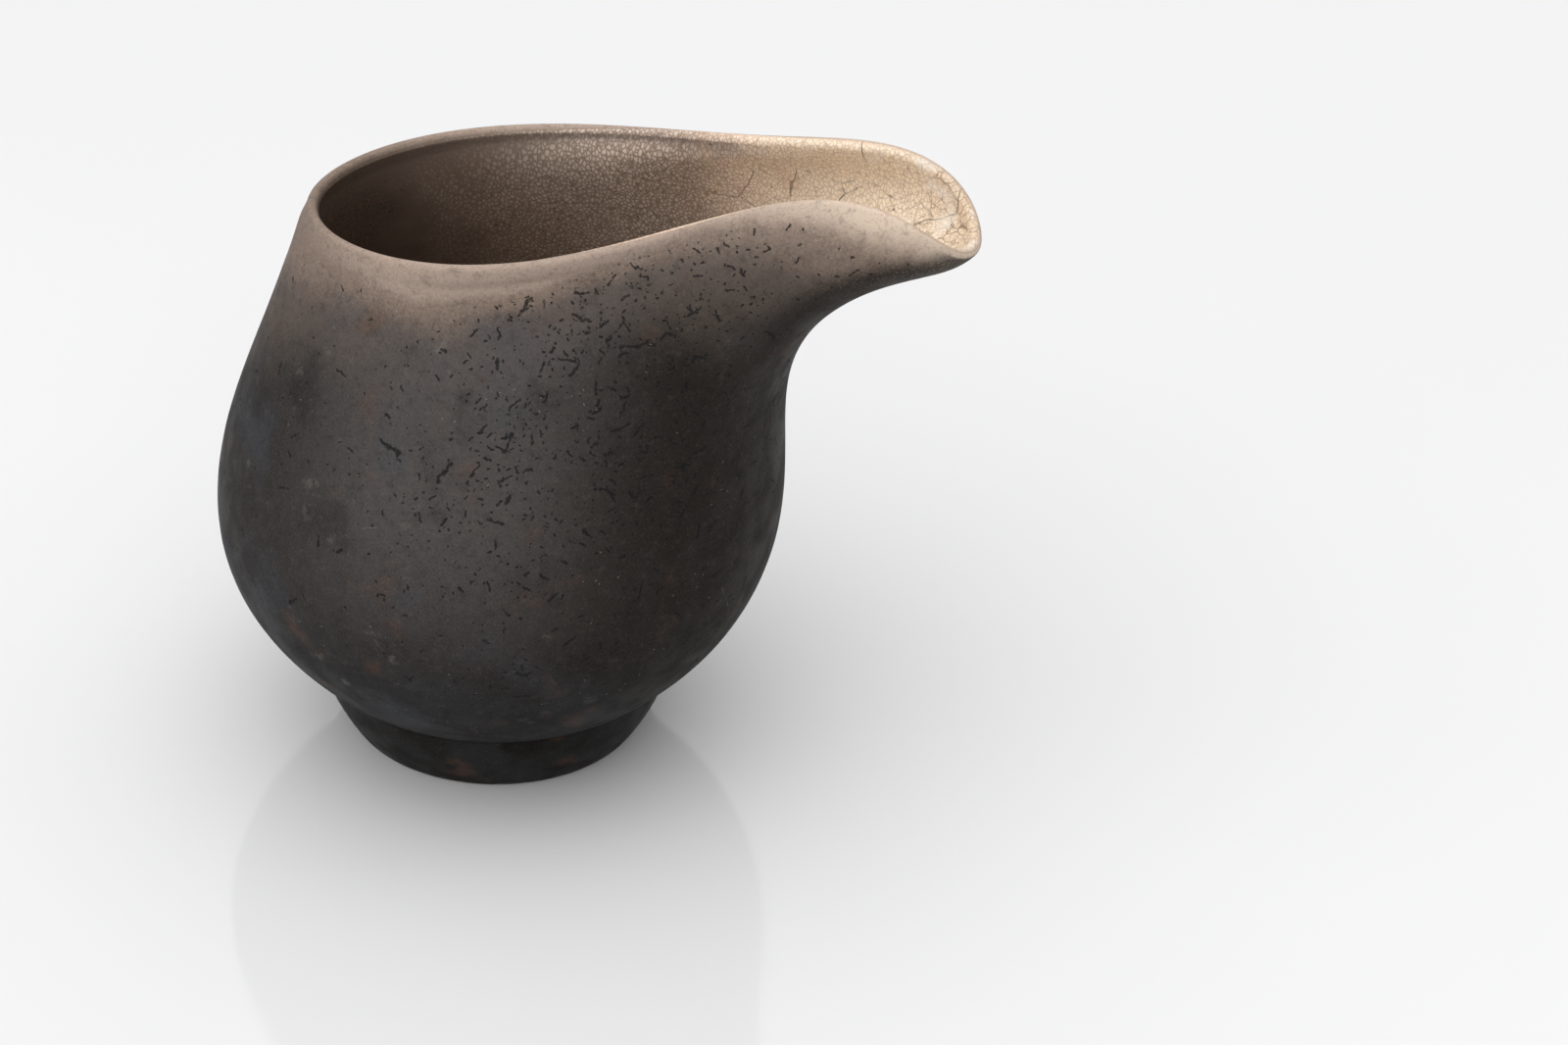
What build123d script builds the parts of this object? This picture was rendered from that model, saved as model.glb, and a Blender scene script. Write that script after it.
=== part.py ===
from build123d import *
import os
from math import comb, pi
import numpy as np

# Smoke-fired pouring vessel: a thrown bowl on a turned foot ring, with an open beak of a
# spout luted to its front, and a crackle glaze that lines the inside of both.
# Frame: millimetres, +Z up, origin at the centre of the foot's resting face, spout towards +X.
# The vessel is the same on its +Y and -Y sides.

# ---- Driving dimensions -----------------------------------------------------------------

FOOT_REST_R = 47.3           # outer radius of the foot where it rests
FOOT_TOP_R = 58.4            # outer radius of the foot under the bowl
FOOT_HEIGHT = 24.9
FOOT_BULGE = 1.5             # how far the foot's outer side swells from a straight cone
FOOT_WALL = 9.5              # radial width of the foot ring
FOOT_EDGE = 1.3              # rounding of the foot's corners

SLIP = 0.5                   # thickness of the slip that joins two clay pieces
SLIP_SETBACK = 0.9           # how far the foot's slip stops short of the foot's flat top

BASE_Z = FOOT_HEIGHT + SLIP  # height of the bowl's flat underside
BASE_R = 60.1                # radius of the bowl's flat underside
WALL_AT_BASE = 5.5           # wall thickness above the foot
WALL_AT_RIM = 3.4            # wall thickness at the rim
FLOOR = 6.0                  # thickness of the bowl's floor
FLOOR_FLAT_R = 10.0          # radius of the flat middle of the floor
FLOOR_TURN = 0.08            # climb at which the inside of the wall turns into the floor

GLAZE = 0.6                  # thickness of the crackle glaze
GLAZE_TOP = 0.992            # climb at which the glaze ends, just under the rim

# Control points (radius, height) of the bowl's outer profile as thrown, from base to mouth.
BOWL_PROFILE = [
    (BASE_R, BASE_Z), (96.0, 56.7), (104.4, 90.3), (86.3, 114.7),
    (64.6, 150.2), (62.3, 189.1), (65.9, 167.7), (61.0, 180.7),
]
# Control points of the rim's outer edge on the +Y side, from the back round to the spout's tip.
RIM = [
    (-60.7, 0, 182.1), (-60.7, 51.4, 182.1), (18.3, 94.2, 193.1), (75.7, 48.1, 182.8),
    (79.4, -5.2, 211.6), (105.6, 10.6, 238.8), (141.8, 40.9, 222.3), (143.6, 25.1, 197.3),
    (151.8, 11.6, 195.4), (151.8, 0, 195.4),
]
# How far the wall is drawn from the thrown mouth towards the rim: control values from the
# base to the top.
DRAW = [0, 0, 0, 0.06, -0.02, 0.60, 0.79, 1]

# The spout is luted on along a leaning plane, given by two points where it crosses XZ.
SEAM_TOP = (45.0, 200.0)
SEAM_BOTTOM = (90.0, 110.0)
TOOL = 400.0                 # size of the blocks that cut the wall along the seam

# Degrees of the Bezier patches that the offset surfaces are fitted with.
AROUND = 13
CLIMB = 9


# ---- Bezier curves and the outer surface --------------------------------------------------
# Every surface is a Bezier patch over half the vessel. "around" runs from 0 at the back to 1
# at the spout, and "climb" from 0 at the base to 1 at the rim.

def bernstein(degree, t):
    """Matrix of the Bernstein polynomials: one row for each t, one column for each control."""
    t = np.atleast_1d(t)[:, None]
    k = np.arange(degree + 1)
    return np.array([comb(degree, i) for i in k]) * t**k * (1 - t) ** (degree - k)


def elevate(controls, degree):
    """The same Bezier curve with more control points."""
    t = np.linspace(0, 1, degree + 1)
    return np.linalg.solve(bernstein(degree, t), bernstein(len(controls) - 1, t) @ controls)


def fit_around(samples, around):
    """Half-ring control points that best follow the samples and cross the mirror plane squarely."""
    basis = bernstein(AROUND, around)
    ends = basis[:, [0, -1]] + basis[:, [1, -2]]
    free = np.hstack([ends[:, :1], basis[:, 2:-2], ends[:, 1:]])
    along = np.linalg.lstsq(free, samples[:, [0, 2]], rcond=None)[0]
    across = np.linalg.lstsq(basis[:, 1:-1], samples[:, 1], rcond=None)[0]
    controls = np.zeros((AROUND + 1, 3))
    controls[:, [0, 2]] = along[[0, *range(AROUND - 1), AROUND - 2]]
    controls[1:-1, 1] = across
    return controls


STATIONS = np.linspace(0, 1, 61)
AZIMUTHS = pi * (1 - STATIONS)
UNIT_RING = fit_around(np.stack([np.cos(AZIMUTHS), np.sin(AZIMUTHS), 0 * AZIMUTHS], 1), STATIONS)
UP = np.array([0, 0, 1.0])


def outer_net():
    """Control net of the outer surface: the thrown bowl, with its top drawn out to the rim."""
    mouth_radius, mouth_height = BOWL_PROFILE[-1]
    rim = elevate(np.array(RIM, float), AROUND)
    drawn = rim - mouth_radius * UNIT_RING - mouth_height * UP
    rows = [r * UNIT_RING + z * UP + w * drawn for (r, z), w in zip(BOWL_PROFILE, DRAW)]
    return np.array(rows)


OUTER = outer_net()


def outer_point(around, climb):
    row = bernstein(len(OUTER) - 1, climb)
    column = bernstein(AROUND, around)
    return np.einsum("cj,ai,jik->cak", row, column, OUTER)


def outer_frame(around, climb, step=1e-4):
    """Points on the outer surface, its outward normals, and the directions in which it climbs."""
    along = outer_point(around + step, climb) - outer_point(around - step, climb)
    rising = outer_point(around, climb + step) - outer_point(around, climb - step)
    normal = np.cross(rising, along)
    normal /= np.linalg.norm(normal, axis=-1, keepdims=True)
    climbing = np.cross(along, normal)
    climbing /= np.linalg.norm(climbing, axis=-1, keepdims=True)
    return outer_point(around, climb), normal, climbing


# ---- Surfaces inside the wall -------------------------------------------------------------

def wall_thickness(climb):
    return WALL_AT_BASE + (WALL_AT_RIM - WALL_AT_BASE) * climb


def glazed_thickness(climb):
    return wall_thickness(climb) + GLAZE


def inner_ring(thickness, climb):
    """Half ring on the surface at this thickness below the outer one."""
    point, normal, _ = outer_frame(STATIONS, np.array([climb]))
    return fit_around(point[0] - thickness(climb) * normal[0], STATIONS)


def inner_net(thickness, start, end):
    """Control net of the surface at this thickness below the outer one, between two climbs."""
    climb = np.linspace(start, end, 41)
    rings = np.array([inner_ring(thickness, c) for c in climb])
    basis = bernstein(CLIMB, np.linspace(0, 1, len(climb)))
    flat = np.linalg.lstsq(basis, rings.reshape(len(climb), -1), rcond=None)[0]
    return flat.reshape(CLIMB + 1, AROUND + 1, 3)


def lip_net(outside, inside, climb):
    """Control net of the half round that joins two rings, bulging in the direction of climb."""
    _, _, climbing = outer_frame(STATIONS, np.array([climb]))
    width = np.linalg.norm(bernstein(AROUND, 0.5) @ (outside - inside))
    handle = fit_around(climbing[0] * width * 2 / 3, STATIONS)
    return np.array([outside, outside + handle, inside + handle, inside])


def floor_net(wall, level):
    """Control net that turns the foot of an inside surface into the flat middle of the floor."""
    start, above = (bernstein(AROUND, 0.5) @ wall[k] for k in (0, 1))
    lean = (above - start)[0]
    _, radius, height = start[0]
    run = (height - level) * lean[1] / lean[2]
    radii = radius - run, FLOOR_FLAT_R + run, FLOOR_FLAT_R
    return np.array([wall[0], *(r * UNIT_RING + level * UP for r in radii)])


# ---- Faces and solids ---------------------------------------------------------------------

def both_halves(net):
    """Faces of the patch and of its mirror image."""
    nets = net, net * [1, -1, 1]
    return [Face.make_bezier_surface([[Vector(*p) for p in row] for row in half]) for half in nets]


def disc(ring):
    """Flat face inside a half ring and its mirror image."""
    halves = ring, ring * [1, -1, 1]
    return Face(Wire([Edge.make_bezier(*[Vector(*p) for p in half]) for half in halves]))


def make_wall_and_glaze():
    """Bowl and spout in one, and the lining, which shares its outer faces with the clay."""
    clay = inner_net(wall_thickness, FLOOR_TURN, GLAZE_TOP)
    clay_floor = floor_net(clay, BASE_Z + FLOOR)
    bonded = both_halves(clay) + both_halves(clay_floor) + [disc(clay_floor[-1])]

    brim = inner_ring(wall_thickness, 1)
    outside = both_halves(OUTER) + [disc(OUTER[0])]
    lip = both_halves(lip_net(OUTER[-1], brim, 1))
    bare = both_halves(np.array([brim, clay[-1]]))
    wall = Solid(Shell(outside + lip + bare + bonded))

    skin = inner_net(glazed_thickness, FLOOR_TURN, GLAZE_TOP)
    skin_floor = floor_net(skin, BASE_Z + FLOOR + GLAZE)
    edge = both_halves(lip_net(clay[-1], skin[-1], GLAZE_TOP))
    surface = both_halves(skin) + both_halves(skin_floor) + [disc(skin_floor[-1])]
    return wall, Solid(Shell(bonded + edge + surface))


def in_front(offset):
    """Block that fills the spout's side of the seam, from this far in front of it."""
    down = Vector(SEAM_BOTTOM[0] - SEAM_TOP[0], 0, SEAM_BOTTOM[1] - SEAM_TOP[1])
    forward = down.cross(Vector(0, 1, 0)).normalized()
    middle = Vector((SEAM_TOP[0] + SEAM_BOTTOM[0]) / 2, 0, (SEAM_TOP[1] + SEAM_BOTTOM[1]) / 2)
    seam = Plane(origin=middle + forward * offset, x_dir=(0, 1, 0), z_dir=forward)
    return seam * Pos(0, 0, TOOL / 2) * Box(TOOL, TOOL, TOOL)


def make_foot():
    """Turned ring with a leaning section, a swelling outer side and eased corners."""
    rest, top = Vector(FOOT_REST_R, 0), Vector(FOOT_TOP_R, FOOT_HEIGHT)
    wall = Vector(FOOT_WALL, 0)
    out = (top - rest).rotate(Axis.Z, -90).normalized()
    with BuildPart() as foot:
        with BuildSketch(Plane.XZ):
            with BuildLine():
                ThreePointArc(rest, (rest + top) / 2 + out * FOOT_BULGE, top)
                Polyline(top, top - wall, rest - wall, rest)
            make_face()
        revolve(axis=Axis.Z)
        fillet(foot.edges().filter_by(GeomType.CIRCLE), radius=FOOT_EDGE)
    return foot.part


def make_foot_slip():
    """Thin ring of slip between the foot and the bowl, set back from both edges."""
    outer = FOOT_TOP_R - FOOT_EDGE - SLIP_SETBACK
    inner = FOOT_TOP_R - FOOT_WALL + FOOT_EDGE + SLIP_SETBACK
    return extrude(Pos(0, 0, FOOT_HEIGHT) * (Circle(outer) - Circle(inner)), SLIP)


# ---- Assembly -----------------------------------------------------------------------------

wall, glaze = make_wall_and_glaze()
spout_and_slip = wall & in_front(-SLIP / 2)
parts = {
    "foot_ring": make_foot(),
    "foot_slip_joint": make_foot_slip(),
    "bowl": wall - in_front(-SLIP / 2),
    "spout_slip_joint": spout_and_slip - in_front(SLIP / 2),
    "spout": wall & in_front(SLIP / 2),
    "crackle_glaze": glaze,
}

os.makedirs("parts", exist_ok=True)
for name, shape in parts.items():
    export_step(shape, f"parts/{name}.step")
    print(name, len(shape.solids()), round(shape.volume), shape.bounding_box())
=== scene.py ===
"""Smoke-fired pouring vessel: burnished clay bowl and spout, crackle-glazed lining, turned foot."""

from math import comb, cos, pi, radians, sin

import bmesh
import bpy
import numpy as np
from mathutils import Matrix, Vector, noise


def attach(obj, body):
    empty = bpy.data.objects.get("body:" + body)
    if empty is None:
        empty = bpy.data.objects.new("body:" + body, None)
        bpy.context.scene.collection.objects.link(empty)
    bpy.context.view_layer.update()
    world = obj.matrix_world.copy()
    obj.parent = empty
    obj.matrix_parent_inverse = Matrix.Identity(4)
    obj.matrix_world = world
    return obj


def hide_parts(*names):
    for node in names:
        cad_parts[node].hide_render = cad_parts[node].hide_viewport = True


MM = 0.001

# ---- Sizes, in millimetres, as in the CAD model --------------------------------------------

FOOT_REST_R = 47.3
FOOT_TOP_R = 58.4
FOOT_HEIGHT = 24.9
FOOT_BULGE = 1.5
FOOT_WALL = 9.5
FOOT_EDGE = 1.3
SLIP = 0.5
BASE_Z = FOOT_HEIGHT + SLIP
BASE_R = 60.1
WALL_AT_BASE = 5.5
WALL_AT_RIM = 3.4
FLOOR = 6.0
FLOOR_FLAT_R = 10.0
FLOOR_TURN = 0.08
GLAZE = 0.6

# Control points (radius, height) of the bowl's outer profile as thrown, from base to mouth.
BOWL_PROFILE = [
    (BASE_R, BASE_Z), (96.0, 56.7), (104.4, 90.3), (86.3, 114.7),
    (64.6, 150.2), (62.3, 189.1), (65.9, 167.7), (61.0, 180.7),
]
# Control points of the rim's outer edge on the +Y side, from the back round to the spout's tip.
RIM = [
    (-60.7, 0, 182.1), (-60.7, 51.4, 182.1), (18.3, 94.2, 193.1), (75.7, 48.1, 182.8),
    (79.4, -5.2, 211.6), (105.6, 10.6, 238.8), (141.8, 40.9, 222.3), (143.6, 25.1, 197.3),
    (151.8, 11.6, 195.4), (151.8, 0, 195.4),
]
# How far the wall is drawn from the thrown mouth towards the rim, from the base to the top.
DRAW = [0, 0, 0, 0.06, -0.02, 0.60, 0.79, 1]
# Two points where the spout's seam plane crosses XZ.
SEAM_TOP = (45.0, 200.0)
SEAM_BOTTOM = (90.0, 110.0)

HALF_RING = 180              # columns of the mesh on each side of the vessel
OUTER_ROWS = 150
HIDDEN_ROWS = 40
LIP_ROWS = 14
FLOOR_ROWS = 24
BASE_RINGS = 6               # rings in the flat disc under the bowl
CLAY_RINGS = 3               # and in the discs of the clay's floor
GLAZE_RINGS = 4              # and of the glaze's floor
FOOT_STEPS = 288             # columns of the foot's mesh all the way round
FOOT_CUTS = 18               # cuts along each side of the foot's section
FOOT_CORNER = 5              # segments round each of its corners
UP = np.array([0, 0, 1.0])

# Unevenness that the hand leaves on the wall: how large its features are, and how high.
SLOW_SIZE, SLOW_HEIGHT = 38, 0.28
FINE_SIZE, FINE_HEIGHT = 9, 0.05
FINE_OFFSET = Vector((7, 3, 1))
EVEN_AT_BASE = 0.05          # climb over which it fades out at the base
EVEN_AT_RIM = 0.08           # and at the rim
# Turning marks and wobble on the foot.
TURNING_HEIGHT = 0.07
TURNING_RATE = 2.6           # radians for each millimetre of the foot's height
WOBBLE_SIZE, WOBBLE_HEIGHT = 16, 0.16

# The glaze creeps up over the lip along the spout.
GLAZE_CLIMBS_FROM = 0.0      # x where it starts to
GLAZE_CRESTS_AT = 70.0       # x where it has reached the crest
GLAZE_TURN_BOWL = 14.0       # degrees over the lip, from its inner edge
GLAZE_TURN_SPOUT = 105.0

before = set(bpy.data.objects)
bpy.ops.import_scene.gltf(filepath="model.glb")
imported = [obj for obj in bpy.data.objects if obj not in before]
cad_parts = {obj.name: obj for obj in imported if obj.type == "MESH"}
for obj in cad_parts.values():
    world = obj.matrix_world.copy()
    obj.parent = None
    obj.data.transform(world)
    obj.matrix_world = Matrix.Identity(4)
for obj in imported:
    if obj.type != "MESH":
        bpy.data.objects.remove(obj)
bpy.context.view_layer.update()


# ---- Surfaces of the vessel ------------------------------------------------------------------

def bernstein(degree, t):
    """Matrix of the Bernstein polynomials: one row for each t, one column for each control."""
    t = np.atleast_1d(t)[:, None]
    k = np.arange(degree + 1)
    return np.array([comb(degree, i) for i in k]) * t**k * (1 - t) ** (degree - k)


def bezier(controls, t):
    """Points of a Bezier curve, one row for each t."""
    return bernstein(len(controls) - 1, t) @ np.array(controls, float)


def half_point(around, climb):
    """Points of the outer surface on the +Y side, one row for each climb."""
    azimuth = pi * (1 - around)
    ring = np.stack([np.cos(azimuth), np.sin(azimuth), 0 * azimuth], 1)
    mouth_radius, mouth_height = BOWL_PROFILE[-1]
    drawn = bezier(RIM, around) - mouth_radius * ring - mouth_height * UP
    radius, height = bezier(BOWL_PROFILE, climb).T[:, :, None, None]
    return radius * ring + height * UP + bezier(DRAW, climb)[:, None, None] * drawn


def whole_ring(half):
    """Half rings and their mirror images as closed rings."""
    return np.concatenate([half, half[:, -2:0:-1] * [1, -1, 1]], axis=1)


def outer_frame(climb, step=1e-4):
    """Rings of points on the outer surface, outward normals and directions of climb."""
    around = np.linspace(0, 1, HALF_RING + 1)
    along = half_point(around + step, climb) - half_point(around - step, climb)
    rising = half_point(around, climb + step) - half_point(around, climb - step)
    normal = np.cross(rising, along)
    normal /= np.linalg.norm(normal, axis=-1, keepdims=True)
    climbing = np.cross(along, normal)
    climbing /= np.linalg.norm(climbing, axis=-1, keepdims=True)
    return [whole_ring(rows) for rows in (half_point(around, climb), normal, climbing)]


def inner_rows(climb, extra):
    """Rings on the inside of the wall, this much closer in than the clay."""
    point, normal, _ = outer_frame(climb)
    thickness = WALL_AT_BASE + (WALL_AT_RIM - WALL_AT_BASE) * climb + extra
    return point - thickness[:, None, None] * normal


def over_lip(share, turn, extra):
    """Rings over the lip from its inner edge round to this turn. They start this much above the
    clay and come down to it."""
    (outside,), _, (climbing,) = outer_frame(np.array([1.0]))
    (inside,) = inner_rows(np.array([1.0]), 0)
    half_width = np.linalg.norm(inside - outside, axis=1, keepdims=True) / 2
    inward = (inside - outside) / (2 * half_width)
    share = share[:, None, None]
    radius = half_width + extra * (1 - share)
    angle = share * turn
    return (outside + inside) / 2 + radius * (np.cos(angle) * inward + np.sin(angle) * climbing)


def glaze_turn():
    """Angle that the glaze goes over the lip: just its inner edge on the bowl, past the crest on
    the spout."""
    (ring,), _, _ = outer_frame(np.array([1.0]))
    share = np.clip((ring[:, :1] - GLAZE_CLIMBS_FROM) / (GLAZE_CRESTS_AT - GLAZE_CLIMBS_FROM), 0, 1)
    share = share * share * (3 - 2 * share)
    return np.radians(GLAZE_TURN_BOWL + (GLAZE_TURN_SPOUT - GLAZE_TURN_BOWL) * share)


def floor_rows(wall, level):
    """Rings that turn the foot of an inside surface into the flat middle of the floor."""
    start, above = wall[-1], wall[-2]
    lean = above - start
    run = (start[:, 2:] - level) / lean[:, 2:] * np.linalg.norm(lean[:, :2], axis=1, keepdims=True)
    ring = start[:, :2] / np.linalg.norm(start[:, :2], axis=1, keepdims=True)
    radius = np.linalg.norm(start[:, :2], axis=1, keepdims=True)
    controls = [start]
    for reach in (radius - run, FLOOR_FLAT_R + run, FLOOR_FLAT_R + 0 * run):
        controls.append(np.hstack([reach * ring, np.full((len(ring), 1), level)]))
    weights = bernstein(3, np.linspace(0, 1, FLOOR_ROWS))[1:]
    return np.einsum("rk,kcd->rcd", weights, np.array(controls))


def disc_rows(ring, count):
    """Rings that shrink to the middle of a flat disc."""
    shares = np.linspace(1, 0, count + 1)[1:-1, None, None]
    middle = ring.mean(axis=0)
    return middle + shares * (ring - middle)


# ---- Meshes ----------------------------------------------------------------------------------

def ring_mesh(name, rows, depth):
    """Closed mesh through rings of points, with a point at each end. It keeps depth as below_rim."""
    count, columns = rows.shape[:2]
    ends = rows[[0, -1]].mean(axis=1)
    points = np.concatenate([rows.reshape(-1, 3), ends]) * MM
    first, last = count * columns, count * columns + 1
    near = np.arange(columns)
    after = np.roll(near, -1)
    low = np.arange(count - 1)[:, None] * columns
    quads = np.stack([low + near, low + after, low + columns + after, low + columns + near], -1)
    top = (count - 1) * columns
    faces = quads.reshape(-1, 4).tolist()
    faces += [(first, int(b), int(a)) for a, b in zip(near, after)]
    faces += [(last, int(a), int(b)) for a, b in zip(top + near, top + after)]
    mesh = bpy.data.meshes.new(name)
    mesh.from_pydata(points.tolist(), [], faces)
    mesh.shade_smooth()
    below = mesh.attributes.new("below_rim", "FLOAT", "POINT")
    depths = np.concatenate([depth.ravel(), depth[[0, -1], 0]])
    below.data.foreach_set("value", depths.astype(np.float32))
    work = bmesh.new()
    work.from_mesh(mesh)
    bmesh.ops.recalc_face_normals(work, faces=work.faces)
    work.to_mesh(mesh)
    work.free()
    return mesh


def below_rim(rows):
    """Distance of each point down the wall from the top row."""
    steps = np.linalg.norm(np.diff(rows[::-1], axis=0), axis=-1)
    return np.concatenate([0 * steps[:1], np.cumsum(steps, axis=0)])[::-1]


def hand_made(points, normals, climb):
    """The outer surface with the slow unevenness of a thrown and burnished wall."""
    fade = np.minimum(1, np.minimum(climb / EVEN_AT_BASE, (1 - climb) / EVEN_AT_RIM))
    for row, (ring, out) in enumerate(zip(points, normals)):
        for column, (point, normal) in enumerate(zip(ring, out)):
            slow = SLOW_HEIGHT * noise.noise(Vector(point) / SLOW_SIZE)
            fine = FINE_HEIGHT * noise.noise(Vector(point) / FINE_SIZE + FINE_OFFSET)
            points[row, column] = point + normal * fade[row] * (slow + fine)
    return points


def wall_mesh():
    """Bowl and spout as one closed piece of clay."""
    climb = np.linspace(0, 1, OUTER_ROWS)
    point, normal, _ = outer_frame(climb)
    depth = below_rim(point)
    outside = hand_made(point, normal, climb)
    lip = over_lip(np.linspace(1, 0, LIP_ROWS)[1:-1], pi, 0)
    inside = inner_rows(np.linspace(1, FLOOR_TURN, HIDDEN_ROWS), 0)
    floor = floor_rows(inside, BASE_Z + FLOOR)
    base = disc_rows(outside[0], BASE_RINGS)[::-1]
    middle = disc_rows(floor[-1], CLAY_RINGS)
    rows = np.concatenate([base, outside, lip, inside, floor, middle])
    depths = np.zeros(rows.shape[:2])
    depths[:len(base)] = depth[0]
    depths[len(base):len(base) + len(depth)] = depth
    return ring_mesh("wall", rows, depths)


def lining_mesh():
    """The coat of glaze, from the floor up and over the lip, where it thins out."""
    back = inner_rows(np.linspace(FLOOR_TURN, 1, HIDDEN_ROWS), 0)
    back_floor = floor_rows(back[::-1], BASE_Z + FLOOR)
    skin = inner_rows(np.linspace(1, FLOOR_TURN, OUTER_ROWS), GLAZE)
    shares = np.linspace(0, 1, LIP_ROWS)
    turn = glaze_turn()
    edge = np.concatenate([over_lip(shares[1:], turn, 0), over_lip(shares[-2:0:-1], turn, GLAZE)])
    skin_floor = floor_rows(skin, BASE_Z + FLOOR + GLAZE)
    middle = disc_rows(skin_floor[-1], GLAZE_RINGS)
    bottom = disc_rows(back_floor[-1], GLAZE_RINGS)[::-1]
    rows = np.concatenate([bottom, back_floor[::-1], back, edge, skin, skin_floor, middle])
    depths = np.zeros(rows.shape[:2])
    shown = below_rim(np.concatenate([skin, skin_floor, middle])[::-1])[::-1]
    over = -np.concatenate([shares[1:], shares[-2:0:-1]])[:, None] * turn[:, 0] * WALL_AT_RIM / 2
    before = len(rows) - len(shown)
    depths[before:] = shown
    depths[before - len(over):before] = over
    return ring_mesh("lining", rows, depths)


def foot_mesh():
    """Turned ring with a leaning, swelling outer side, eased corners and faint turning marks."""
    corners = [
        (FOOT_REST_R - FOOT_WALL, 0), (FOOT_REST_R, 0),
        (FOOT_TOP_R, FOOT_HEIGHT), (FOOT_TOP_R - FOOT_WALL, FOOT_HEIGHT),
    ]
    work = bmesh.new()
    loop = [work.verts.new((radius * MM, 0, height * MM)) for radius, height in corners]
    section = work.faces.new(loop)
    bmesh.ops.bevel(work, geom=section.verts[:], offset=FOOT_EDGE * MM, offset_type="OFFSET",
                    segments=FOOT_CORNER, profile=0.5, affect="VERTICES")
    long_edges = [e for e in work.edges if e.calc_length() > 2 * FOOT_EDGE * MM]
    bmesh.ops.subdivide_edges(work, edges=long_edges, cuts=FOOT_CUTS)
    bmesh.ops.delete(work, geom=work.faces[:], context="FACES_ONLY")
    bmesh.ops.spin(work, geom=work.verts[:] + work.edges[:], cent=(0, 0, 0), axis=(0, 0, 1),
                   angle=2 * pi, steps=FOOT_STEPS, use_merge=True)
    bmesh.ops.remove_doubles(work, verts=work.verts[:], dist=1e-6)
    bmesh.ops.recalc_face_normals(work, faces=work.faces)
    for vertex in work.verts:
        height = vertex.co.z / MM
        climb = height / FOOT_HEIGHT
        away = Vector((vertex.co.x, vertex.co.y, 0))
        middle = FOOT_REST_R + (FOOT_TOP_R - FOOT_REST_R) * climb - FOOT_WALL / 2
        if away.length > middle * MM:
            vertex.co += away.normalized() * 4 * FOOT_BULGE * climb * (1 - climb) * MM
        if FOOT_EDGE < height < FOOT_HEIGHT - FOOT_EDGE:
            turning = TURNING_HEIGHT * sin(height * TURNING_RATE)
            wobble = WOBBLE_HEIGHT * noise.noise(vertex.co / (WOBBLE_SIZE * MM))
            vertex.co += away.normalized() * (turning + wobble) * MM
    mesh = bpy.data.meshes.new("foot")
    work.to_mesh(mesh)
    work.free()
    mesh.shade_smooth()
    return mesh


def keep_normals(mesh):
    """Writes the whole wall's smooth normals on its points, so that its cut pieces can keep them."""
    normals = np.empty(len(mesh.vertices) * 3, np.float32)
    mesh.vertex_normals.foreach_get("vector", normals)
    mesh.attributes.new("smooth_normal", "FLOAT_VECTOR", "POINT").data.foreach_set("vector", normals)


def between_planes(name, mesh, behind, ahead):
    """The part of a closed mesh between two offsets from the seam plane, with flat ends."""
    (x0, z0), (x1, z1) = SEAM_TOP, SEAM_BOTTOM
    forward = Vector((z0 - z1, 0, x1 - x0)).normalized()
    middle = Vector((x0 + x1, 0, z0 + z1)) / 2
    work = bmesh.new()
    work.from_mesh(mesh)
    for offset, side in ((behind, -1), (ahead, 1)):
        if offset is None:
            continue
        bmesh.ops.bisect_plane(work, geom=work.verts[:] + work.edges[:] + work.faces[:], dist=1e-7,
                               plane_co=(middle + forward * offset) * MM,
                               plane_no=forward * side, clear_outer=True)
        rim = [e for e in work.edges if e.is_boundary]
        capped = bmesh.ops.triangle_fill(work, use_beauty=True, edges=rim, normal=forward * side)
        for face in capped["geom"]:
            if isinstance(face, bmesh.types.BMFace):
                face.smooth = False
    bmesh.ops.recalc_face_normals(work, faces=work.faces)
    piece = bpy.data.meshes.new(name)
    work.to_mesh(piece)
    work.free()
    restore_normals(piece)
    return piece


def restore_normals(mesh):
    """Puts the whole wall's smooth normals back on a cut piece, except on its flat ends."""
    kept = np.empty(len(mesh.vertices) * 3, np.float32)
    mesh.attributes["smooth_normal"].data.foreach_get("vector", kept)
    corners = np.empty(len(mesh.loops), np.int32)
    mesh.loops.foreach_get("vertex_index", corners)
    smooth = np.zeros(len(mesh.loops), bool)
    for face in mesh.polygons:
        smooth[face.loop_start:face.loop_start + face.loop_total] = face.use_smooth
    normals = np.where(smooth[:, None], kept.reshape(-1, 3)[corners], 0)
    mesh.attributes.remove(mesh.attributes["smooth_normal"])
    mesh.normals_split_custom_set(normals.tolist())


# ---- Shader nodes ----------------------------------------------------------------------------

def srgb(red, green, blue):
    """Linear colour of three 8-bit sRGB values."""
    return (*[(v / 255 / 12.92) if v < 11 else ((v / 255 + 0.055) / 1.055) ** 2.4
              for v in (red, green, blue)], 1)


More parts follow.
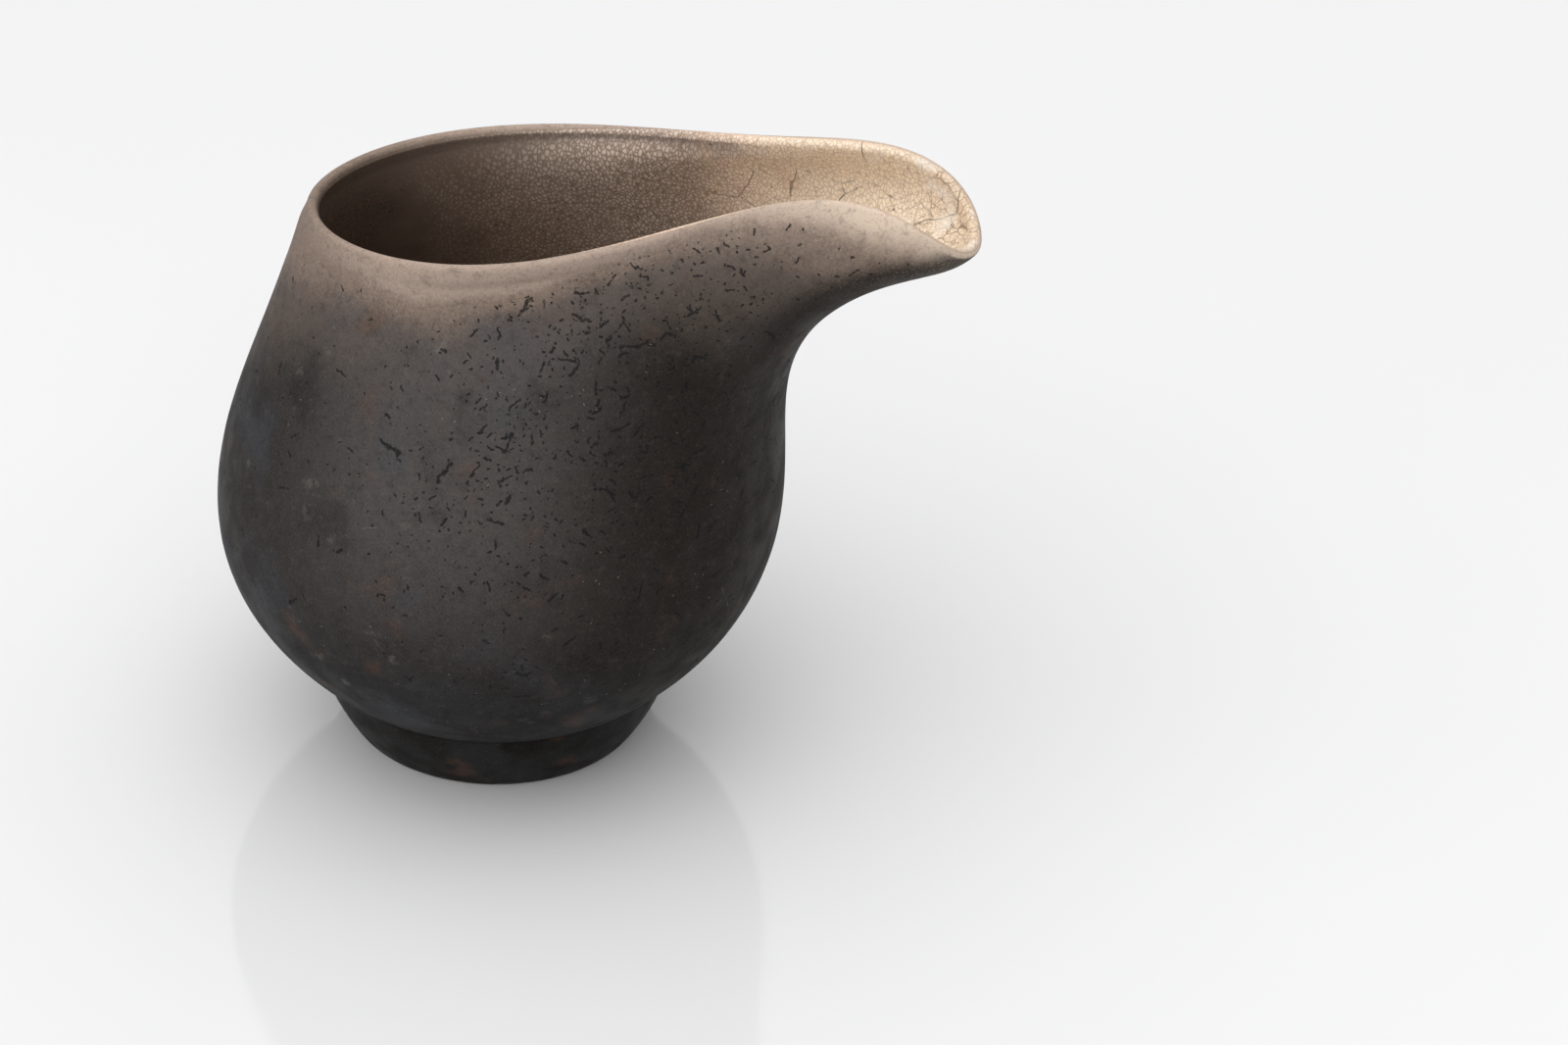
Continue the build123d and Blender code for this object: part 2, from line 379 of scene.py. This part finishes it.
class Shader:
    """Short forms for the nodes of one material. Lengths in its patterns are millimetres."""

    def __init__(self, name):
        self.material = bpy.data.materials.new(name)
        self.material.use_nodes = True
        self.tree = self.material.node_tree
        self.tree.nodes.clear()
        self.place = self.vector("SCALE", self.add("TexCoord").outputs["Object"], scale=1 / MM)

    def add(self, kind, values=(), **settings):
        node = self.tree.nodes.new("ShaderNode" + kind)
        for key, value in settings.items():
            setattr(node, key, value)
        for key, value in dict(values).items():
            self.feed(node.inputs[key], value)
        return node

    def feed(self, socket, value):
        """Links another node's output to the socket, or sets a constant on it."""
        if isinstance(value, bpy.types.NodeSocket):
            self.tree.links.new(value, socket)
        else:
            socket.default_value = value

    def math(self, operation, *values):
        return self.add("Math", enumerate(values), operation=operation).outputs[0]

    def times(self, *values):
        """Product of sockets and numbers."""
        product = values[0]
        for value in values[1:]:
            product = self.math("MULTIPLY", product, value)
        return product

    def plus(self, *values):
        """Sum of sockets and numbers."""
        total = values[0]
        for value in values[1:]:
            total = self.math("ADD", total, value)
        return total

    def vector(self, operation, *values, scale=None):
        inputs = dict(enumerate(values))
        if scale is not None:
            inputs["Scale"] = scale
        node = self.add("VectorMath", inputs, operation=operation)
        return node.outputs["Value" if operation in ("LENGTH", "DOT_PRODUCT") else "Vector"]

    def part(self, vector, axis):
        return self.add("SeparateXYZ", {0: vector}).outputs[axis]

    def attribute(self, name):
        return self.add("Attribute", attribute_name=name).outputs["Fac"]

    def facing(self):
        """Direction in which the surface faces."""
        return self.add("NewGeometry").outputs["Normal"]

    def step(self, value, start, end, low=0.0, high=1.0):
        """Smooth step from low at start to high at end. start may be above end."""
        inputs = {"Value": value, "From Min": start, "From Max": end, "To Min": low, "To Max": high}
        return self.add("MapRange", inputs, interpolation_type="SMOOTHSTEP").outputs["Result"]

    def noise_node(self, size, detail=3.0, roughness=0.55, offset=0.0):
        moved = self.vector("ADD", self.place, (offset, offset, offset))
        inputs = {"Vector": moved, "Scale": 1 / size, "Detail": detail, "Roughness": roughness}
        return self.add("TexNoise", inputs)

    def noise(self, size, **options):
        """Noise from 0 to 1 with features of this size."""
        return self.noise_node(size, **options).outputs["Fac"]

    def cloud(self, size, start, end, low=0.0, high=1.0, **options):
        """Soft patches of this size: noise turned into a step."""
        return self.step(self.noise(size, **options), start, end, low, high)

    def cells(self, size, feature="F1", place=None, randomness=1.0):
        inputs = {"Vector": place or self.place, "Scale": 1 / size, "Randomness": randomness}
        return self.add("TexVoronoi", inputs, feature=feature)

    def from_crack(self, size, place):
        """Distance from the nearest border between cells of this size, as a share of the size."""
        return self.cells(size, "DISTANCE_TO_EDGE", place=place).outputs["Distance"]

    def mix(self, factor, under, over):
        node = self.add("Mix", {"Factor": factor}, data_type="RGBA")
        self.feed(node.inputs[6], under)
        self.feed(node.inputs[7], over)
        return node.outputs[2]

    def tint(self, under, over, *masks):
        """One colour laid over another, as strongly as the masks say when multiplied together."""
        return self.mix(self.times(*masks), under, over)

    def warped(self, size, amount):
        """The place, moved about by noise of this size."""
        push = self.noise_node(size, detail=2.0).outputs["Color"]
        push = self.vector("SUBTRACT", push, (0.5, 0.5, 0.5))
        return self.vector("ADD", self.place, self.vector("SCALE", push, scale=2 * amount))

    def dashes(self, cell, length, width, chance, wriggle=0.0, offset=0.0):
        """Mask of short strokes lying on the surface, one to a cell. chance is 0 to 1."""
        place = self.warped(cell / 4, wriggle) if wriggle else self.place
        place = self.vector("ADD", place, (offset, offset, offset))
        found = self.cells(cell, place=place, randomness=0.9)
        centre = found.outputs["Position"]
        normal = self.facing()

        def flat(vector):
            rise = self.vector("DOT_PRODUCT", vector, normal)
            return self.vector("SUBTRACT", vector, self.vector("SCALE", normal, scale=rise))

        away = flat(self.vector("SUBTRACT", place, centre))
        random = self.add("TexWhiteNoise", {"Vector": centre})
        turn = self.vector("SUBTRACT", random.outputs["Color"], (0.5, 0.5, 0.5))
        heading = self.vector("NORMALIZE", flat(turn))
        along = self.math("ABSOLUTE", self.vector("DOT_PRODUCT", away, heading))
        sideways = self.vector("LENGTH", self.vector("CROSS_PRODUCT", away, heading))
        half_length = self.times(self.step(random.outputs["Value"], 0, 1, 0.35, 1.0), length / 2)
        over = self.math("MAXIMUM", self.math("SUBTRACT", along, half_length), 0.0)
        reach = self.math("SQRT", self.plus(self.times(over, over), self.times(sideways, sideways)))
        mask = self.step(reach, width * 0.75, width * 0.3)
        lucky = self.math("LESS_THAN", self.part(found.outputs["Color"], "X"), chance)
        return self.times(mask, lucky)

    def bump(self, *heights):
        """Normal from heights in millimetres, added up."""
        inputs = {"Height": self.plus(*heights), "Distance": MM, "Strength": 1.0}
        return self.add("Bump", inputs).outputs[0]

    def finish(self, colour, roughness, normal, **constants):
        inputs = {"Base Color": colour, "Roughness": roughness, "Normal": normal}
        inputs.update(constants)
        surface = self.add("BsdfPrincipled", inputs)
        output = self.add("OutputMaterial")
        self.tree.links.new(surface.outputs[0], output.inputs["Surface"])
        return self.material


# ---- The smoked clay -------------------------------------------------------------------------
# In the materials x, z, depth, reach and below are millimetres, strengths and chances run from 0
# to 1, and an offset only moves one noise away from the others.

def smoke_depth(s, x, ragged):
    """Millimetres below the rim, made ragged, and shifted where the tan band is wide or narrow."""
    narrow_at_back = s.step(x, -15, -62, -6.0, 9.0)
    narrow_at_spout = s.step(x, 20, 80, 0.0, 10.0)
    wide_between = s.times(s.step(x, -30, 8, 0.0, -19.0), s.step(x, 55, 20))
    unevenness = s.math("MULTIPLY_ADD", ragged, 26.0, -13.0)
    return s.plus(s.attribute("below_rim"), unevenness, narrow_at_back, narrow_at_spout, wide_between)


def smoke_stages(s, x, z, depth, spout_side):
    """Colour of the clay: tan by the rim, then darker stage by stage as the smoke gets thicker, darker
    still towards the bottom, with painted shade where the spout's side faces down.
    """
    tan = s.mix(s.step(x, -60, -10), srgb(130, 114, 102), srgb(161, 143, 130))
    tan = s.mix(s.step(x, 62, 135), tan, srgb(210, 190, 171))
    brown, umber, ash = srgb(122, 106, 95), srgb(82, 73, 67), srgb(77, 72, 70)
    charcoal = s.mix(spout_side, srgb(41, 38, 37), srgb(32, 27, 23))
    bottom_black = s.mix(spout_side, srgb(26, 26, 27), srgb(17, 15, 13))
    colour = s.mix(s.step(depth, 2, 20), tan, brown)
    colour = s.mix(s.step(depth, 17, 47), colour, umber)
    colour = s.mix(s.step(depth, 40, 88), colour, charcoal)
    # The clay turns darker towards the bottom, from 95 mm up down to 40 mm.
    colour = s.mix(s.step(z, 95, 40), colour, bottom_black)

    middle = s.times(s.step(x, -62, -8), s.step(x, 75, 20))
    colour = s.tint(colour, ash, middle, s.step(z, 50, 125), s.step(depth, 20, 50), 0.7)
    # Painted shade: on the spout's side the clay is darkened where it faces down, under the spout.
    shade_facing_down = s.step(s.part(s.facing(), "Z"), 0.05, -0.45)
    return s.tint(colour, srgb(26, 21, 16), shade_facing_down, s.step(x, 40, 90), 0.9)


def smoke_stains(s, colour, depth, spout_side):
    """Clouds of slate blue, rust, soot and pale ash over the smoked clay."""
    slate, rust, soot, ash = srgb(58, 60, 66), srgb(88, 62, 46), srgb(28, 26, 25), srgb(120, 113, 107)
    smoked = s.step(depth, 14, 45)
    calm = s.math("MULTIPLY_ADD", spout_side, -0.75, 1.0)
    colour = s.tint(colour, slate, s.cloud(34, 0.50, 0.68, offset=11.0), smoked, calm, 0.4)
    colour = s.tint(colour, rust, s.cloud(17, 0.58, 0.74, detail=5.0, offset=47.0), smoked, 0.36)
    colour = s.tint(colour, soot, s.cloud(22, 0.52, 0.70, detail=5.0, offset=83.0), smoked, 0.45)
    return s.tint(colour, ash, s.cloud(9, 0.62, 0.80, detail=4.0, offset=5.0), smoked, calm, 0.36)


def straw_marks(s, x, z, depth):
    """Mask of the carbon marks of straw, thickest on the spout's side, below the tan band."""
    band = s.times(s.step(depth, 9, 22), s.step(depth, 190, 100, 0.30, 1.0))
    patchy = s.cloud(30, 0.36, 0.60, 0.45, 1.0, offset=29.0)
    sideways = s.times(s.step(x, -28, 48, 0.16, 1.0), s.step(x, 115, 70, 0.35, 1.0))
    crowd = s.times(band, patchy, sideways, s.step(z, 30, 70))
    # Cell, length, width, chance, wriggle and offset of each layer.
    layers = [
        (8.0, 5.0, 0.75, 0.50, 1.1, 0.0),
        (5.0, 2.4, 0.62, 0.42, 0.7, 31.0),
        (3.1, 0.8, 0.62, 0.38, 0.35, 67.0),
        (2.0, 0.3, 0.44, 0.22, 0.2, 51.0),
        (17.0, 7.0, 1.2, 0.34, 3.0, 97.0),
    ]
    marks = 0.0
    for cell, length, width, chance, wriggle, offset in layers:
        layer = s.dashes(cell, length, width, s.times(crowd, chance), wriggle, offset)
        marks = s.math("MAXIMUM", marks, layer)
    torn = s.cloud(0.9, 0.30, 0.50, 0.62, 1.0, detail=2.0, offset=17.0)
    return s.times(marks, torn)


def smoked_clay():
    """Burnished clay: tan at the rim, smoked to charcoal below, with carbon marks of straw."""
    s = Shader("smoked_clay")
    x, z = s.part(s.place, "X"), s.part(s.place, "Z")
    ragged = s.noise(26, detail=4.0, roughness=0.6)
    depth = smoke_depth(s, x, ragged)
    spout_side = s.step(s.math("MULTIPLY_ADD", ragged, 60.0, s.math("SUBTRACT", x, 30.0)), -10, 80)
    colour = smoke_stages(s, x, z, depth, spout_side)
    colour = smoke_stains(s, colour, depth, spout_side)
    marks = straw_marks(s, x, z, depth)
    colour = s.tint(colour, srgb(20, 19, 20), marks, 0.92)

    rubbed = s.times(s.cloud(24, 0.48, 0.66, offset=3.0), s.step(depth, 30, 60))
    specks = s.dashes(4.2, 0.6, 0.26, s.times(rubbed, 0.2), offset=13.0)
    colour = s.tint(colour, srgb(140, 132, 124), specks, 0.5)
    scratches = s.dashes(26.0, 14.0, 0.22, 0.16, wriggle=1.4, offset=73.0)
    colour = s.tint(colour, srgb(150, 142, 134), scratches, rubbed, 0.35)

    grain = s.noise(0.75, detail=3.0, roughness=0.7)
    bare = s.step(depth, 50, 5, 0.13, 1.0)
    colour = s.tint(colour, srgb(190, 174, 160), s.step(grain, 0.50, 0.78, 0, 0.40), bare)
    colour = s.mix(s.step(grain, 0.50, 0.24, 0, 0.40), colour, srgb(18, 17, 16))
    mottle = s.noise(3.2, detail=4.0, roughness=0.65, offset=91.0)
    colour = s.mix(s.step(mottle, 0.50, 0.30, 0, 0.26), colour, srgb(22, 20, 19))
    colour = s.mix(s.step(mottle, 0.55, 0.80, 0, 0.10), colour, srgb(130, 118, 108))

    rough = s.cloud(12, 0.35, 0.65, 0.56, 0.70, detail=4.0, offset=61.0)
    rough = s.plus(rough, s.times(marks, 0.12))
    dents = s.times(s.noise(4.5, detail=3.0, offset=19.0), 0.10)
    normal = s.bump(s.times(grain, 0.035), dents, s.times(marks, -0.05))
    return s.finish(colour, rough, normal, IOR=1.22)


# ---- The glaze -------------------------------------------------------------------------------

def glaze_body(s, reach):
    """Colour of the glaze without its cracks: brown inside the bowl and cream along the spout."""
    smoky_brown, beige = srgb(64, 55, 48), srgb(206, 186, 170)
    cream, ivory, tip_beige = srgb(249, 229, 208), srgb(250, 232, 208), srgb(224, 205, 180)
    colour = s.mix(s.step(reach, -60, 30), smoky_brown, beige)
    colour = s.mix(s.step(reach, 50, 78), colour, cream)
    colour = s.mix(s.step(reach, 66, 92), colour, ivory)
    return s.mix(s.step(reach, 112, 146), colour, tip_beige)


def crackle_glaze():
    """Satin glaze with a net of smoked craze lines, brown inside and cream along the spout."""
    s = Shader("crackle_glaze")
    x, below = s.part(s.place, "X"), s.attribute("below_rim")
    drift = s.math("MULTIPLY_ADD", s.noise(30, detail=3.0), 44.0, -22.0)
    reach = s.plus(x, drift)
    colour = glaze_body(s, reach)

    # A fine net of craze lines all over.
    net_place = s.vector("MULTIPLY", s.warped(3.0, 0.5), (1.12, 1.12, 0.75))
    fine = s.from_crack(1.5, net_place)
    gap = s.times(s.math("SUBTRACT", 1.0, s.step(fine, 0.0, 0.30)), s.step(reach, 96, 54, 0.34, 1.0))
    ink = s.mix(s.step(reach, 40, 80), srgb(80, 67, 58), srgb(196, 158, 126))
    colour = s.tint(colour, ink, gap, 0.62)
    colour = s.tint(colour, srgb(122, 96, 76), s.step(fine, 0.08, 0.03), 0.36)

    # Wider cells with dark borders at the tip, and a few long cracks along the spout.
    bold = s.step(s.from_crack(3.4, s.warped(9.0, 1.6)), 0.055, 0.018)
    bold = s.times(bold, s.step(reach, 108, 134), s.cloud(9, 0.26, 0.56, offset=33.0))
    colour = s.tint(colour, srgb(98, 76, 60), bold, 0.62)
    crack = s.step(s.from_crack(27.0, s.warped(14.0, 3.0)), 0.012, 0.004)
    crack = s.times(crack, s.step(reach, 30, 96), s.cloud(16, 0.43, 0.55, offset=71.0))
    colour = s.tint(colour, srgb(62, 55, 52), crack, 0.75)

    # Milky patches at the tip, painted shade under the lip of the bowl, blushes, and a brown upper
    # edge.
    milky = s.cloud(13, 0.50, 0.64, offset=87.0)
    colour = s.tint(colour, srgb(247, 240, 230), milky, s.step(reach, 104, 124), 0.45)
    # Painted shade: a darker band in the top 26 mm of the glaze inside the bowl, under the lip.
    painted_lip_shade = s.times(s.step(below, 26, 4), s.step(below, 0.0, 1.5))
    colour = s.tint(colour, srgb(92, 79, 71), painted_lip_shade, s.step(reach, 92, 54), 0.68)
    blush = s.cloud(11, 0.52, 0.74, detail=4.0, offset=23.0)
    colour = s.tint(colour, srgb(206, 166, 130), blush, 0.28, s.step(reach, 20, 90))
    colour = s.mix(s.step(below, -1.3, -2.8, 0.0, 0.7), colour, srgb(196, 170, 150))
    pits = s.dashes(7.0, 0.5, 0.5, 0.16, offset=41.0)
    colour = s.tint(colour, srgb(30, 26, 23), pits, 0.8)
    grain = s.noise(0.7, detail=2.0, offset=9.0)
    colour = s.mix(s.step(grain, 0.50, 0.30, 0, 0.20), colour, ink)

    rough = s.cloud(8, 0.35, 0.65, 0.22, 0.36, detail=3.0, offset=53.0)
    rough = s.plus(rough, s.step(reach, 120, 70, 0.0, 0.42))
    net = s.times(s.step(fine, 0.0, 0.12), 0.035)
    waves = s.times(s.noise(5.0, detail=2.0), 0.16)
    normal = s.bump(net, waves, s.times(s.plus(bold, crack), -0.05))
    return s.finish(colour, rough, normal, IOR=1.32)


# ---- The foot, the slip and the floor --------------------------------------------------------

def foot_clay():
    """The turned foot: the same clay, smoked nearly black and rubbed smooth."""
    s = Shader("foot_clay")
    z = s.part(s.place, "Z")
    colour = s.mix(s.cloud(20, 0.42, 0.64, detail=4.0), srgb(15, 12, 10), srgb(34, 33, 33))
    rust = s.cloud(13, 0.58, 0.74, detail=5.0, offset=37.0)
    colour = s.tint(colour, srgb(78, 52, 40), rust, 0.5)
    worn = s.cloud(5, 0.42, 0.62, detail=4.0, offset=15.0)
    colour = s.tint(colour, srgb(96, 86, 78), s.step(z, 2.2, 0.4), worn, 0.5)
    marks = s.dashes(4.0, 1.6, 0.4, 0.10, wriggle=0.3, offset=58.0)
    colour = s.tint(colour, srgb(18, 17, 17), marks, 0.7)
    grain = s.noise(0.55, detail=2.0)
    colour = s.mix(s.step(grain, 0.52, 0.80, 0, 0.14), colour, srgb(120, 114, 108))
    rough = s.cloud(10, 0.35, 0.65, 0.42, 0.54, detail=3.0, offset=21.0)
    dents = s.times(s.noise(4.0, detail=3.0, offset=19.0), 0.09)
    return s.finish(colour, rough, s.bump(s.times(grain, 0.03), dents), IOR=1.18)


def joint_slip():
    """Thin slip in the groove between foot and bowl."""
    s = Shader("joint_slip")
    colour = s.mix(s.cloud(6, 0.4, 0.65, detail=4.0), srgb(30, 28, 27), srgb(44, 41, 39))
    grain = s.noise(0.5, detail=2.0)
    rough = s.step(grain, 0.3, 0.7, 0.6, 0.8)
    return s.finish(colour, rough, s.bump(s.times(grain, 0.05)), IOR=1.45)


def studio_floor():
    """Glossy white acrylic with the faintest unevenness."""
    s = Shader("studio_floor")
    colour = s.mix(s.noise(300, detail=2.0), srgb(214, 214, 215), srgb(218, 218, 219))
    rough = s.cloud(90, 0.3, 0.7, 0.07, 0.10, detail=2.0)
    return s.finish(colour, rough, s.bump(s.times(s.noise(400), 0.02)), IOR=1.5)


# ---- Pieces ----------------------------------------------------------------------------------

def piece(name, mesh, material, slot, node):
    """A mesh as a piece that stands for a CAD node."""
    body = bpy.data.objects.new(name, mesh)
    mesh.materials.clear()
    mesh.materials.append(material)
    bpy.context.scene.collection.objects.link(body)
    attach(body, "root")
    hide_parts(node)


def make_vessel():
    """All the pieces. The slip under the bowl stays the CAD's own, with a better material."""
    clay = smoked_clay()
    wall = wall_mesh()
    keep_normals(wall)
    half_slip = SLIP / 2
    bowl = between_planes("bowl_shell", wall, None, -half_slip)
    joint = between_planes("spout_joint", wall, -half_slip, half_slip)
    spout = between_planes("spout_shell", wall, half_slip, None)
    bpy.data.meshes.remove(wall)
    piece("bowl_shell", bowl, clay, "smoked_clay", "bowl")
    piece("spout_joint", joint, clay, "smoked_clay", "spout_slip_joint")
    piece("spout_shell", spout, clay, "smoked_clay", "spout")
    piece("glaze_lining", lining_mesh(), crackle_glaze(), "glaze", "crackle_glaze")
    piece("turned_foot", foot_mesh(), foot_clay(), "foot_clay", "foot_ring")
    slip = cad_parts["foot_slip_joint"]
    slip.data.materials.clear()
    slip.data.materials.append(joint_slip())


# ---- Studio ----------------------------------------------------------------------------------

FLOOR_SIZE = 9.0                         # metres
FLOOR_SQUARES = 24
SOFTBOX_HEIGHT = 2.2                     # metres
SOFTBOX_SIZE = 2.4
SOFTBOX_POWER = 3                        # watts
CAMERA_AT = (362.50, -1133.85, 793.67)   # millimetres
CAMERA_YAW = 13.26                       # degrees, from looking along +Y towards looking along -X
CAMERA_PITCH = 31.18                     # degrees down
CAMERA_ROLL = 2.58
CAMERA_LENS = 98.44                      # millimetres, on a sensor of this width
CAMERA_SENSOR = 36
ROOM_SEEN = (0.86, 0.86, 0.87, 1)        # the pale backdrop beyond the floor
ROOM_DIM = 0.06                          # light from every side
# Soft light of the room: the side that it comes from, how it spreads, and its strength.
ROOM_LIGHTS = [
    ((0.02, -0.06, 0.96), (0.25, 1.00), 1.62),
    ((-0.25, -0.82, 0.50), (0.38, 1.00), 1.45),
    ((-0.90, -0.20, 0.35), (0.30, 1.00), 0.32),
    ((-0.10, 0.90, 0.42), (0.35, 0.95), 0.7),
]


def make_floor():
    work = bmesh.new()
    bmesh.ops.create_grid(work, x_segments=FLOOR_SQUARES, y_segments=FLOOR_SQUARES, size=FLOOR_SIZE / 2)
    mesh = bpy.data.meshes.new("studio_floor")
    work.to_mesh(mesh)
    work.free()
    floor = bpy.data.objects.new("studio_floor", mesh)
    mesh.materials.append(studio_floor())
    bpy.context.scene.collection.objects.link(floor)


def make_softbox():
    """Square lamp straight above the vessel, which shines down."""
    lamp = bpy.data.lights.new("top", "AREA")
    lamp.shape = "SQUARE"
    lamp.size = SOFTBOX_SIZE
    lamp.energy = SOFTBOX_POWER
    box = bpy.data.objects.new("top", lamp)
    box.location = (0, 0, SOFTBOX_HEIGHT)
    bpy.context.scene.collection.objects.link(box)


def room_light(tree):
    """Strength of the room's light by its direction: soft patches over a dim glow."""
    direction = tree.nodes.new("ShaderNodeTexCoord").outputs["Generated"]
    dim = tree.nodes.new("ShaderNodeValue")
    dim.outputs[0].default_value = ROOM_DIM
    total = dim.outputs[0]
    for towards, (start, end), strength in ROOM_LIGHTS:
        facing = tree.nodes.new("ShaderNodeVectorMath")
        facing.operation = "DOT_PRODUCT"
        facing.inputs[1].default_value = Vector(towards).normalized()
        tree.links.new(direction, facing.inputs[0])
        spread = tree.nodes.new("ShaderNodeMapRange")
        spread.interpolation_type = "SMOOTHSTEP"
        spread.inputs["From Min"].default_value = start
        spread.inputs["From Max"].default_value = end
        spread.inputs["To Max"].default_value = strength
        tree.links.new(facing.outputs["Value"], spread.inputs["Value"])
        added = tree.nodes.new("ShaderNodeMath")
        tree.links.new(spread.outputs["Result"], added.inputs[0])
        tree.links.new(total, added.inputs[1])
        total = added.outputs[0]
    return total


def make_world():
    """A pale backdrop for the camera, and the room's soft light for everything else."""
    world = bpy.data.worlds.new("pale_room")
    world.use_nodes = True
    tree = world.node_tree
    seen, output = tree.nodes["Background"], tree.nodes["World Output"]
    seen.inputs["Color"].default_value = ROOM_SEEN
    lit = tree.nodes.new("ShaderNodeBackground")
    tree.links.new(room_light(tree), lit.inputs["Strength"])
    choice = tree.nodes.new("ShaderNodeMixShader")
    tree.links.new(tree.nodes.new("ShaderNodeLightPath").outputs["Is Camera Ray"], choice.inputs[0])
    tree.links.new(lit.outputs[0], choice.inputs[1])
    tree.links.new(seen.outputs[0], choice.inputs[2])
    tree.links.new(choice.outputs[0], output.inputs["Surface"])
    bpy.context.scene.world = world


def make_camera():
    lens = bpy.data.cameras.new("camera")
    lens.lens = CAMERA_LENS
    lens.sensor_width = CAMERA_SENSOR
    lens.sensor_fit = "HORIZONTAL"
    lens.clip_start = 0.05
    yaw, pitch, roll = (radians(a) for a in (CAMERA_YAW, CAMERA_PITCH, CAMERA_ROLL))
    right = Vector((cos(yaw), sin(yaw), 0))
    ahead = Vector((-sin(yaw) * cos(pitch), cos(yaw) * cos(pitch), -sin(pitch)))
    up = right.cross(ahead)
    turned_right = right * cos(roll) + up * sin(roll)
    turned_up = up * cos(roll) - right * sin(roll)
    camera = bpy.data.objects.new("camera", lens)
    turn = Matrix((turned_right, turned_up, -ahead)).transposed().to_4x4()
    camera.matrix_world = Matrix.Translation(Vector(CAMERA_AT) * MM) @ turn
    bpy.context.scene.collection.objects.link(camera)
    bpy.context.scene.camera = camera


def make_studio():
    make_floor()
    make_world()
    make_camera()
    make_softbox()
    bpy.context.scene.view_settings.view_transform = "Standard"


make_vessel()
make_studio()
